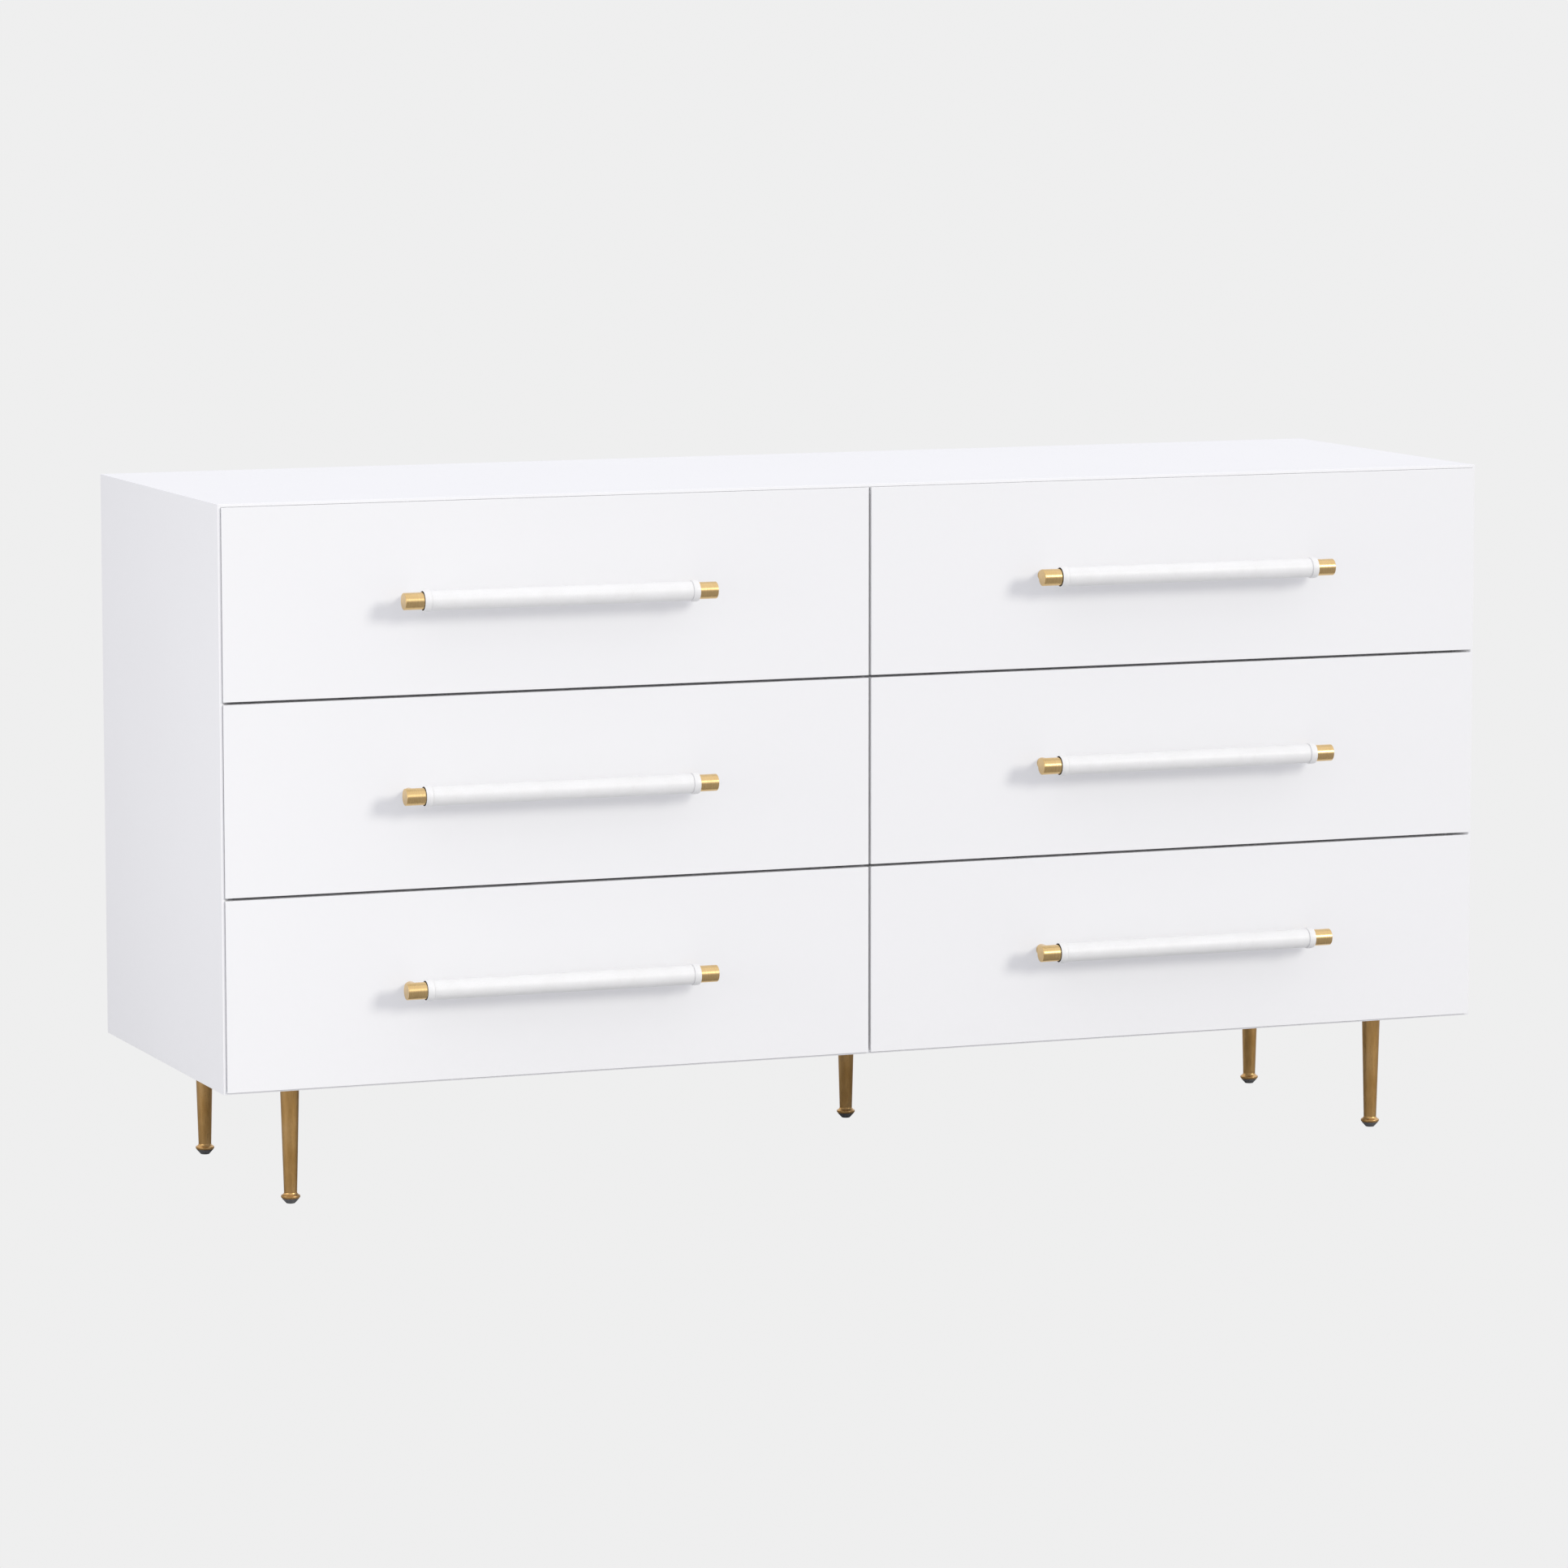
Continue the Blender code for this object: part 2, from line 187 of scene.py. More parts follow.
def noise(tree, scale, stretch=(1, 1, 1), detail=3.0):
    """Noise with scale features in a metre, drawn out along an axis where stretch is small."""
    inputs = {"Vector": piece_space(tree, scale, stretch), "Scale": 1.0, "Detail": detail}
    return add_node(tree, "ShaderNodeTexNoise", inputs).outputs[0]


def ramp(tree, factor, *stops):
    """A colour that runs through (position, colour) stops."""
    node = add_node(tree, "ShaderNodeValToRGB", {"Fac": factor})
    elements = node.color_ramp.elements
    while len(elements) < len(stops):
        elements.new(1.0)
    for element, (position, colour) in zip(elements, stops):
        element.position = position
        element.color = (*colour, 1.0)
    return node.outputs["Color"]


def vary_roughness(tree, shader, factor, low, high):
    inputs = {"Value": factor, "From Min": 0.3, "From Max": 0.7, "To Min": low, "To Max": high}
    spread = add_node(tree, "ShaderNodeMapRange", inputs)
    tree.links.new(spread.outputs[0], shader.inputs["Roughness"])


def add_bump(tree, shader, height, distance, strength=1.0):
    """Raise the surface by a height map, on top of any bump it already has."""
    inputs = {"Height": height, "Distance": distance, "Strength": strength}
    bump = add_node(tree, "ShaderNodeBump", inputs)
    normal = shader.inputs["Normal"]
    if normal.is_linked:
        tree.links.new(normal.links[0].from_socket, bump.inputs["Normal"])
    tree.links.new(bump.outputs[0], normal)


def mix_by(tree, factor, first, second, blend="MIX"):
    node = add_node(tree, "ShaderNodeMix", data_type="RGBA", blend_type=blend)
    sockets = [socket for socket in node.inputs if socket.type == "RGBA"]
    for socket, value in ((node.inputs["Factor"], factor), (sockets[0], first),
                          (sockets[1], second)):
        if isinstance(value, bpy.types.NodeSocket):
            tree.links.new(value, socket)
        else:
            socket.default_value = value
    return next(socket for socket in node.outputs if socket.type == "RGBA")


def white_lacquer():
    """Sprayed semi-gloss white: a faint orange peel and broad, very soft patches of sheen."""
    material, tree, shader = new_surface("white_lacquer", Coat_Weight=0.15, Coat_Roughness=0.12)
    patches = noise(tree, 3.0, detail=1.0)
    colour = ramp(tree, patches, (0.30, (0.846, 0.847, 0.854)), (0.70, (0.852, 0.853, 0.860)))
    tree.links.new(colour, shader.inputs["Base Color"])
    vary_roughness(tree, shader, noise(tree, 7.0, detail=1.0), 0.30, 0.33)
    add_bump(tree, shader, noise(tree, 300.0, detail=1.0), 0.000006, 0.5)
    add_bump(tree, shader, noise(tree, 1800.0, detail=1.0), 0.000002, 0.5)
    return material


def drawer_plywood():
    """Clear-coated birch plywood: grain along X, and the ply edges stacked through Z."""
    material, tree, shader = new_surface("drawer_plywood", Coat_Weight=0.2, Coat_Roughness=0.3)
    figure = noise(tree, 34.0, (0.08, 1, 1), detail=5.0)
    grain = noise(tree, 900.0, (0.02, 1, 0.3), detail=3.0)
    wood = ramp(tree, figure, (0.30, (0.60, 0.47, 0.32)), (0.50, (0.72, 0.59, 0.43)),
                (0.72, (0.77, 0.66, 0.51)))
    pores = ramp(tree, grain, (0.36, (0.78, 0.74, 0.68)), (0.52, (1.0, 1.0, 1.0)))
    wood = mix_by(tree, 0.7, wood, pores, "MULTIPLY")
    plies = add_node(tree, "ShaderNodeTexWave", {"Vector": piece_space(tree, 1.0),
                     "Scale": 118.0, "Phase Offset": math.pi / 2}, bands_direction="Z")
    layers = ramp(tree, plies.outputs["Fac"], (0.20, (0.62, 0.50, 0.38)), (0.40, (1.0, 1.0, 1.0)))
    tree.links.new(mix_by(tree, 0.8, wood, layers, "MULTIPLY"), shader.inputs["Base Color"])
    vary_roughness(tree, shader, grain, 0.42, 0.58)
    add_bump(tree, shader, grain, 0.00008, 0.5)
    return material


def satin_brass():
    """Satin brass, turned: fine marks run round the bar, with a little mottling."""
    material, tree, shader = new_surface("satin_brass", Metallic=1.0)
    marks = noise(tree, 5200.0, (1, 0.01, 0.01), detail=2.0)
    mottle = noise(tree, 90.0, detail=3.0)
    colour = ramp(tree, mottle, (0.30, (0.70, 0.49, 0.22)), (0.70, (0.77, 0.55, 0.27)))
    tree.links.new(colour, shader.inputs["Base Color"])
    vary_roughness(tree, shader, marks, 0.19, 0.29)
    add_bump(tree, shader, marks, 0.000008, 0.4)
    return material


def antique_brass():
    """Darker brass on the legs: polishing marks along the leg, and clouds of patina."""
    material, tree, shader = new_surface("antique_brass", Metallic=1.0)
    marks = noise(tree, 2600.0, (1, 1, 0.012), detail=3.0)
    patina = noise(tree, 70.0, (1, 1, 0.35), detail=4.0)
    colour = ramp(tree, patina, (0.28, (0.54, 0.31, 0.10)), (0.50, (0.64, 0.39, 0.15)),
                  (0.75, (0.70, 0.46, 0.21)))
    tree.links.new(colour, shader.inputs["Base Color"])
    vary_roughness(tree, shader, marks, 0.26, 0.40)
    add_bump(tree, shader, marks, 0.00002, 0.5)
    return material


def white_leather():
    """Fine-grained white leather: pebbles with creases between them, the creases painted darker as
    shade, and soft wrinkles.
    """
    material, tree, shader = new_surface("white_leather", Sheen_Weight=0.08)
    pebble = add_node(tree, "ShaderNodeTexVoronoi", {"Vector": piece_space(tree, 1300.0),
                      "Scale": 1.0, "Randomness": 0.9}, feature="SMOOTH_F1")
    patches = noise(tree, 60.0, detail=4.0)
    colour = ramp(tree, patches, (0.30, (0.785, 0.784, 0.780)), (0.70, (0.815, 0.815, 0.815)))
    # Painted shade: the recessed creases between the pebbles are coloured darker.
    crease_shade = ramp(tree, pebble.outputs["Distance"], (0.45, (1.0, 1.0, 1.0)),
                   (0.85, (0.90, 0.89, 0.88)))
    tree.links.new(mix_by(tree, 0.6, colour, crease_shade, "MULTIPLY"), shader.inputs["Base Color"])
    vary_roughness(tree, shader, pebble.outputs["Distance"], 0.40, 0.55)
    add_bump(tree, shader, pebble.outputs["Distance"], -0.00006, 0.5)
    add_bump(tree, shader, noise(tree, 220.0, (0.4, 1, 1)), 0.00012, 0.4)
    return material


def fold_mouth_painted_shade():
    """The raw back of the leather in the mouth of each fold, coloured near-black as painted shade
    for the deep gap between leather and bar.
    """
    material, tree, shader = new_surface("fold_mouth_painted_shade")
    fibres = noise(tree, 1500.0, detail=4.0)
    colour = ramp(tree, fibres, (0.30, (0.030, 0.026, 0.024)), (0.70, (0.060, 0.052, 0.046)))
    tree.links.new(colour, shader.inputs["Base Color"])
    vary_roughness(tree, shader, fibres, 0.75, 0.95)
    add_bump(tree, shader, fibres, 0.00010, 0.6)
    return material


def white_thread():
    """Waxed white thread with its twist, the twist's grooves painted darker as shade."""
    material, tree, shader = new_surface("white_thread", Roughness=0.6, Sheen_Weight=0.2)
    twist_and_groove_shade = add_node(tree, "ShaderNodeTexWave", {"Vector": piece_space(tree, 1.0, (1, 0.4, 0.4)),
                     "Scale": 420.0, "Distortion": 1.0}, bands_direction="DIAGONAL")
    # Painted shade: the colour darkens where the twist's grooves sink in the bump.
    colour = ramp(tree, twist_and_groove_shade.outputs["Fac"], (0.2, (0.70, 0.69, 0.67)), (0.7, (0.88, 0.88, 0.86)))
    tree.links.new(colour, shader.inputs["Base Color"])
    add_bump(tree, shader, twist_and_groove_shade.outputs["Fac"], 0.00006, 0.6)
    return material


def grey_plastic():
    """Matt moulded plastic with a fine spark texture, scuffed paler in places."""
    material, tree, shader = new_surface("grey_plastic")
    scuffs = noise(tree, 420.0, detail=5.0)
    colour = ramp(tree, scuffs, (0.35, (0.115, 0.118, 0.125)), (0.75, (0.165, 0.168, 0.175)))
    tree.links.new(colour, shader.inputs["Base Color"])
    vary_roughness(tree, shader, scuffs, 0.42, 0.62)
    add_bump(tree, shader, noise(tree, 3500.0, detail=2.0), 0.00003, 0.5)
    return material


def zinc_steel():
    """Bright zinc-plated steel: a fine rolled grain along X and pale spangle."""
    material, tree, shader = new_surface("zinc_steel", Metallic=1.0)
    rolled = noise(tree, 1600.0, (0.02, 1, 1), detail=3.0)
    spangle = add_node(tree, "ShaderNodeTexVoronoi", {"Vector": piece_space(tree, 260.0),
                       "Scale": 1.0}).outputs["Color"]
    colour = ramp(tree, spangle, (0.1, (0.56, 0.57, 0.59)), (0.9, (0.70, 0.71, 0.73)))
    tree.links.new(colour, shader.inputs["Base Color"])
    vary_roughness(tree, shader, rolled, 0.24, 0.38)
    add_bump(tree, shader, rolled, 0.00002, 0.5)
    return material


# ---- mesh tools -------------------------------------------------------------------------

def fillet(outline, radii, closed=True, steps=4):
    """An outline with a round of each radius at its corner: one radius, or one a corner."""
    corners = [Vector(corner) for corner in outline]
    if not isinstance(radii, (list, tuple)):
        radii = [radii] * len(corners)
    rounded = []
    for i, (corner, radius) in enumerate(zip(corners, radii)):
        at_end = not closed and i in (0, len(corners) - 1)
        if at_end or not radius:
            rounded.append(corner)
            continue
        back = (corners[i - 1] - corner).normalized()
        onward = (corners[(i + 1) % len(corners)] - corner).normalized()
        half = back.angle(onward) / 2
        inset = radius / math.tan(half)
        centre = corner + (back + onward).normalized() * radius / math.sin(half)
        first, last = corner + back * inset - centre, corner + onward * inset - centre
        for step in range(steps + 1):
            rounded.append(centre + first.lerp(last, step / steps).normalized() * radius)
    return rounded


def to_mesh(bm):
    bmesh.ops.recalc_face_normals(bm, faces=bm.faces)
    mesh = bpy.data.meshes.new("piece")
    bm.to_mesh(mesh)
    bm.free()
    return mesh


def prism(outline, length):
    """A YZ outline drawn out along X, half its length each way."""
    bm = bmesh.new()
    face = bm.faces.new([bm.verts.new((-length / 2, y, z)) for y, z in outline])
    run = bmesh.ops.extrude_face_region(bm, geom=[face])
    moved = [piece for piece in run["geom"] if isinstance(piece, bmesh.types.BMVert)]
    bmesh.ops.translate(bm, verts=moved, vec=(length, 0, 0))
    return to_mesh(bm)


def slab(length, width, thickness, rounds=BOARD_ARRIS):
    """A board along X with rounded long edges."""
    y, z = width / 2, thickness / 2
    return prism(fillet([(-y, -z), (y, -z), (y, z), (-y, z)], rounds), length)


def turned(profile, segments=ROUND_SEGMENTS, closed=False):
    """A mesh turned around Z from (radius, height) points."""
    bm = bmesh.new()
    verts = [bm.verts.new((radius, 0, height)) for radius, height in profile]
    edges = [bm.edges.new(pair) for pair in zip(verts, verts[1:])]
    if closed:
        edges.append(bm.edges.new((verts[-1], verts[0])))
    bmesh.ops.spin(bm, geom=verts + edges, cent=(0, 0, 0), axis=Z, angle=2 * math.pi,
                   steps=segments, use_merge=True)
    bmesh.ops.remove_doubles(bm, verts=bm.verts, dist=1e-7)
    return to_mesh(bm)


def saw_cut(bm, point, normal):
    """Cut everything off that lies beyond a plane, and close the cut."""
    whole = bm.verts[:] + bm.edges[:] + bm.faces[:]
    cut = bmesh.ops.bisect_plane(bm, geom=whole, dist=1e-6, plane_co=point, plane_no=normal,
                                 clear_outer=True)
    rim = [piece for piece in cut["geom_cut"] if isinstance(piece, bmesh.types.BMEdge)]
    bmesh.ops.holes_fill(bm, edges=rim)


def softened(node, radius, segments=3):
    """A copy of a CAD node's mesh with every edge rounded."""
    bm = bmesh.new()
    bm.from_mesh(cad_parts[node].data)
    bmesh.ops.remove_doubles(bm, verts=bm.verts, dist=1e-6)
    bmesh.ops.dissolve_limit(bm, angle_limit=math.radians(1), verts=bm.verts, edges=bm.edges)
    bmesh.ops.bevel(bm, geom=bm.edges[:], offset=radius, segments=segments, profile=0.5,
                    affect="EDGES")
    return to_mesh(bm)


def joined(base, tool, operation):
    """Join two closed meshes, or cut one by the other."""
    pair = [bpy.data.objects.new("shape", mesh) for mesh in (base, tool)]
    for shape in pair:
        bpy.context.scene.collection.objects.link(shape)
    change = pair[0].modifiers.new("join", "BOOLEAN")
    change.operation = operation
    change.solver = "EXACT"
    change.object = pair[1]
    shown = pair[0].evaluated_get(bpy.context.evaluated_depsgraph_get())
    mesh = bpy.data.meshes.new_from_object(shown)
    for shape in pair:
        bpy.data.objects.remove(shape)
    return mesh


def frame_at(centre, along, facing):
    """The placing that sends a piece's X along one direction and its Z another."""
    along, facing = Vector(along), Vector(facing)
    turn = Matrix((along, facing.cross(along), facing)).transposed().to_4x4()
    return Matrix.Translation(centre) @ turn


def copies(mesh, placings):
    """One mesh that holds a copy of another at each placing."""
    bm = bmesh.new()
    for placing in placings:
        before = len(bm.verts)
        bm.from_mesh(mesh)
        bm.verts.ensure_lookup_table()
        bmesh.ops.transform(bm, matrix=placing, verts=bm.verts[before:])
    return to_mesh(bm)


def add_piece(name, mesh, materials, body, nodes=(), placing=Matrix.Identity(4)):
    """Show a mesh as a piece that rides on a body and stands for its CAD nodes."""
    piece = bpy.data.objects.new(name, mesh)
    bpy.context.scene.collection.objects.link(piece)
    if not mesh.materials:
        for material in materials:
            mesh.materials.append(material)
        mesh.shade_smooth()
        mesh.set_sharp_from_angle(angle=SMOOTH_ANGLE)
    weighted = piece.modifiers.new("weighted_normals", "WEIGHTED_NORMAL")
    weighted.keep_sharp = True
    piece.matrix_world = placing
    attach(piece, body)
    if nodes:
        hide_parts(*nodes)
    return piece


def middle(node):
    low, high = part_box(node)
    return (low + high) / 2


# ---- the case ---------------------------------------------------------------------------

def mitred_ring(low, high):
    """The four case panels as one bevelled ring around Y, from its outer corners."""
    depth = high.y - low.y
    section = ((0, 0), (0, depth), (PANEL, depth), (PANEL, PANEL - KNIFE_EDGE), (KNIFE_EDGE, 0))
    corners = ((low.x, low.z, 1, 1), (high.x, low.z, -1, 1),
               (high.x, high.z, -1, -1), (low.x, high.z, 1, -1))
    bm = bmesh.new()
    loops = [[bm.verts.new((x + inward_x * n, low.y + y, z + inward_z * n)) for n, y in section]
             for x, z, inward_x, inward_z in corners]
    for i, loop in enumerate(loops):
        beside = loops[i - 1]
        for j in range(len(section)):
            bm.faces.new((loop[j], loop[j - 1], beside[j - 1], beside[j]))
    rims = [bm.edges.get((loops[i][j], loops[i - 1][j])) for i in range(4) for j in (0, 1, 4)]
    rims += [bm.edges.get((loop[0], loop[1])) for loop in loops]
    bmesh.ops.bevel(bm, geom=rims, offset=ARRIS, segments=4, profile=0.5, affect="EDGES")
    return bm


def build_shell(materials):
    low = Vector(min(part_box(node)[0][i] for node in ("case_left_side", "case_bottom"))
                 for i in range(3))
    high = Vector(max(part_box(node)[1][i] for node in ("case_right_side", "case_top"))
                  for i in range(3))
    ring = mitred_ring(low, high)
    centre = (low + high) / 2
    reach = (high - low) / 2
    for title, out, across in (("left_side", -X, Z), ("right_side", X, Z),
                               ("top", Z, X), ("bottom", -Z, X)):
        bm = ring.copy()
        saw_cut(bm, centre, -out)
        for side in (-across, across):
            corner = centre + Vector(a * b for a, b in zip(reach, out + side))
            saw_cut(bm, corner, side - out)
        add_piece(f"shell_{title}", to_mesh(bm), [materials["lacquer"]], "case",
                  [f"case_{title}"])
    ring.free()


def screw_head(radius, height):
    """A pan-head screw's head on the XY plane, with a cross recess."""
    dome = [(radius * across, height * up) for across, up in SCREW_DOME]
    rounds = [0, 0, 0, radius * SCREW_EDGE_ROUND, 0, 0]
    head = turned(fillet(dome, rounds, closed=False), SCREW_SEGMENTS)
    a, w = radius * RECESS_REACH, radius * RECESS_HALF_WIDTH
    cross = prism([(a, -w), (a, w), (w, w), (w, a), (-w, a), (-w, w), (-a, w), (-a, -w),
                   (-w, -w), (-w, -a), (w, -a), (w, -w)], height)
    cross.transform(Matrix.Translation((0, 0, height)) @ Matrix.Rotation(math.pi / 2, 4, "Y"))
    return joined(head, cross, "DIFFERENCE")


def channel_section(height, depth):
    """A steel channel's section with its web at z = 0, open towards +Z, with rolled lips."""
    h, wall, lip = height / 2, RUNNER_WALL, RUNNER_LIP
    return fillet([(-h, 0), (h, 0), (h, depth), (h - wall, depth), (h - wall, wall),
                   (wall - h, wall), (wall - h, depth), (-h, depth)],
                  [wall, wall, lip, lip, lip, lip, lip, lip], steps=3)


def add_runner(name, size, web, side, ends, height, body, materials):
    """A channel that faces +X or -X from its web, with the screws that hold it."""
    front, back = ends
    placing = frame_at((web, (front + back) / 2, height), Y * side, X * side)
    steel = materials["steel"]
    add_piece(name, prism(channel_section(*size), back - front), [steel], body,
              placing=placing)
    places = [Matrix.Translation((x, 0, RUNNER_WALL)) for x in RUNNER_SCREWS]
    add_piece(f"{name}_screws", copies(materials["screw"], places), [steel], body,
              placing=placing)


def build_case_runners(materials):
    low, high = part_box("case_back")
    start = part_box("case_upper_rail")[0].y
    faces = {("left", "left"): (low.x, 1), ("left", "right"): (-PANEL / 2, -1),
             ("right", "left"): (PANEL / 2, 1), ("right", "right"): (high.x, -1)}
    for row in ROWS:
        for (column, edge), (web, side) in faces.items():
            board_low, board_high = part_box(f"drawer_{row}_{column}_side_{edge}")
            ends = (start, start + board_high.y - board_low.y)
            add_runner(f"runner_{row}_{column}_{edge}", CASE_CHANNEL, web - side * FIT_GAP, side,
                       ends, board_low.z + RUNNER_HEIGHT_ON_BOX, "case", materials)


def build_divider(materials):
    """The upright between the columns, notched over the two rails."""
    low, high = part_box("case_centre_divider")
    rails = [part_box("case_lower_rail"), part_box("case_upper_rail")]
    outline = [(low.y, low.z)]
    for rail_low, rail_high in rails:
        floor, ceiling, end = rail_low.z - FIT_GAP, rail_high.z + FIT_GAP, rail_high.y + FIT_GAP
        outline += [(low.y, floor), (end, floor), (end, ceiling), (low.y, ceiling)]
    outline += [(low.y, high.z), (high.y, high.z), (high.y, low.z)]
    add_piece("divider_board", prism(outline, PANEL), [materials["lacquer"]], "case",
              ["case_centre_divider"])


def build_back(materials):
    """The back panel and the screws around its edge and up its middle."""
    low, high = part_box("case_back")
    add_piece("back_board", softened("case_back", BOARD_ARRIS), [materials["lacquer"]], "case",
              ["case_back"])
    inset = BACK_SCREW_INSET
    last_column, last_row = BACK_SCREW_COLUMNS - 1, BACK_SCREW_ROWS - 1
    places = []
    for i in range(BACK_SCREW_COLUMNS):
        for j in range(BACK_SCREW_ROWS):
            if i in (0, last_column // 2, last_column) or j in (0, last_row):
                x = low.x + inset + (high.x - low.x - 2 * inset) * i / last_column
                z = low.z + inset + (high.z - low.z - 2 * inset) * j / last_row
                places.append(frame_at((x, high.y, z), X, Y))
    add_piece("back_screws", copies(materials["screw"], places), [materials["steel"]], "case")


def build_case(materials):
    build_shell(materials)
    build_divider(materials)
    for title in ("upper", "lower"):
        add_piece(f"rail_{title}", softened(f"case_{title}_rail", BOARD_ARRIS),
                  [materials["lacquer"]], "case", [f"case_{title}_rail"])
    build_back(materials)
    build_case_runners(materials)


# ---- the drawers ------------------------------------------------------------------------

def side_section(height):
    """A drawer side across its grain: rounded on top, grooved for the bottom on its +Z face."""
    floor, ceiling = BOTTOM_LIFT - FIT_GAP, BOTTOM_LIFT + BOTTOM_BOARD + FIT_GAP
    low, half = -height / 2, SIDE_BOARD / 2
    hollow = half - GROOVE_DEPTH
    top, small = BOARD_TOP_ROUND, BOARD_ARRIS
    return fillet([(low, -half), (-low, -half), (-low, half), (low + ceiling, half),
                   (low + ceiling, hollow), (low + floor, hollow), (low + floor, half),
                   (low, half)],
                  [small, top, top, small, 0, 0, small, small])


def build_drawer_box(name, materials):
    wood = [materials["plywood"]]
    for edge, side in (("left", 1), ("right", -1)):
        node = f"{name}_side_{edge}"
        low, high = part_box(node)
        inner = high.x if side > 0 else low.x
        centre = (inner - side * SIDE_BOARD / 2, (low.y + high.y) / 2, (low.z + high.z) / 2)
        add_piece(f"{node}_board", prism(side_section(high.z - low.z), high.y - low.y), wood,
                  name, [node], frame_at(centre, Y * side, X * side))
        front_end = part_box(f"{name}_front")[1].y + BEHIND_FRONT
        add_runner(f"{name}_runner_{edge}", DRAWER_CHANNEL, inner - side * SIDE_BOARD, -side,
                   (front_end, high.y), low.z + RUNNER_HEIGHT_ON_BOX, name, materials)
    low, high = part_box(f"{name}_back")
    size = high - low
    top_rounds = [BOARD_ARRIS, BOARD_TOP_ROUND, BOARD_TOP_ROUND, BOARD_ARRIS]
    add_piece(f"{name}_back_board", slab(size.x, size.z, size.y, top_rounds), wood, name,
              [f"{name}_back"], frame_at(middle(f"{name}_back"), X, -Y))
    low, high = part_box(f"{name}_bottom")
    size = high - low
    add_piece(f"{name}_bottom_board", slab(size.x, size.y, size.z), wood, name,
              [f"{name}_bottom"], frame_at(middle(f"{name}_bottom"), X, Z))


def handle_bar(length, reach):
    """A round bar along X with rounded ends, and two posts back along Y to the front."""
    half = length / 2
    rod = turned(fillet([(0, half), (BAR_RADIUS, half), (BAR_RADIUS, -half), (0, -half)],
                        BAR_END_ROUND, closed=False))
    rod.transform(Matrix.Rotation(math.pi / 2, 4, "Y"))
    post = turned([(0, 0), (POST_RADIUS, 0), (POST_RADIUS, -reach), (0, -reach)], POST_SEGMENTS)
    places = [frame_at((side * (half - POST_INSET), 0, 0), X, -Y) for side in (-1, 1)]
    return joined(rod, copies(post, places), "UNION")


def wrap_half(end):
    """The leather's outline over one half, from the sleeve to the fold and back inside."""
    fold = end - FOLD_LENGTH
    inside = BAR_RADIUS + FIT_GAP
    rings = range(SLEEVE_RINGS + 1)
    sleeve = [(SLEEVE_RADIUS, (fold - SEAM_GROOVE_WIDTH) * i / SLEEVE_RINGS) for i in rings]
    outer = fillet([sleeve[-1], (SLEEVE_RADIUS - SEAM_GROOVE, fold - FOLD_TAPER),
                    (FOLD_RADIUS - FOLD_TAPER, fold + FOLD_TAPER),
                    (FOLD_RADIUS, fold + FOLD_CROWN), (FOLD_END_RADIUS, end),
                    (FOLD_MOUTH_RADIUS, end), (FOLD_MOUTH_RADIUS, end - FOLD_MOUTH_DEPTH),
                    (inside, end - FOLD_MOUTH_FLOOR)],
                   [0, 0.0001, 0.0007, 0.006, 0.0004, 0.0002, 0, 0], closed=False)
    return sleeve[:-1] + outer


def handle_wrap(end):
    """The leather sleeve along X: folded ends, a lapped seam behind, and slight unevenness."""
    half = wrap_half(end)
    mirrored = [(radius, -height) for radius, height in reversed(half)]
    mesh = turned([tuple(point) for point in mirrored + half[1:]], closed=True)
    mesh.transform(Matrix.Rotation(math.pi / 2, 4, "Y"))
    for vertex in mesh.vertices:
        x = vertex.co.x
        radial = Vector((0, vertex.co.y, vertex.co.z))
        if radial.length > SLEEVE_RADIUS - SEAM_GROOVE / 2 and abs(x) < end - 0.0005:
            lap = LAP_HEIGHT * max(0.0, 1 - radial.angle(SEAM_FACING) / LAP_HALF_ANGLE)
            ripple = SLEEVE_RIPPLE * math.sin(x * 190) * math.sin(x * 71 + 1)
            vertex.co += radial.normalized() * (lap + ripple)
    # Faces inside each fold's mouth take the second material: near-black painted shade for the gap
    # between leather and bar.
    for polygon in mesh.polygons:
        radius = math.hypot(polygon.center.y, polygon.center.z)
        from_end = end - abs(polygon.center.x)
        in_painted_shade_mouth = radius < FOLD_MOUTH_RADIUS + 0.0001 and 0.0002 < from_end < PAINTED_SHADE_MOUTH_DEPTH
        polygon.material_index = int(in_painted_shade_mouth)
    return mesh


def wrap_stitches(end):
    """The stitches along the lapped seam, on the side that faces the drawer."""
    run = end - FOLD_LENGTH - STITCH_PITCH
    count = int(2 * run / STITCH_PITCH)
    radius = SLEEVE_RADIUS + LAP_HEIGHT
    bm = bmesh.new()
    for i in range(count + 1):
        x = -run + 2 * run * i / count
        placing = frame_at(SEAM_FACING * radius + X * x, X, SEAM_FACING)
        size = Matrix.Diagonal((STITCH_LENGTH / 2, STITCH_RADIUS, STITCH_RADIUS, 1.0))
        bmesh.ops.create_uvsphere(bm, u_segments=8, v_segments=6, radius=1.0,
                                  matrix=placing @ size)
    return to_mesh(bm)


def build_handles(materials):
    """One bar, wrap and row of stitches, shared by the six handles.

    The bars throw no warm light on the white fronts.
    """
    low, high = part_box("drawer_top_left_handle_bar")
    wrap_low, wrap_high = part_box("drawer_top_left_handle_wrap")
    axis = middle("drawer_top_left_handle_wrap")
    end = (wrap_high.x - wrap_low.x) / 2
    meshes = {"bar": (handle_bar(high.x - low.x, high.y - axis.y), ["brass"], "satin_brass"),
              "wrap": (handle_wrap(end), ["leather", "fold_mouth_painted_shade"], "white_leather"),
              "stitches": (wrap_stitches(end), ["thread"], "white_leather")}
    for name in DRAWERS:
        place = Matrix.Translation(middle(f"{name}_handle_wrap"))
        for title, (mesh, finishes, slot) in meshes.items():
            nodes = [] if title == "stitches" else [f"{name}_handle_{title}"]
            piece = add_piece(f"{name}_{title}", mesh, [materials[key] for key in finishes],
                              name, nodes, place)
            piece.visible_diffuse = title != "bar"
        build_handle_screws(name, materials)


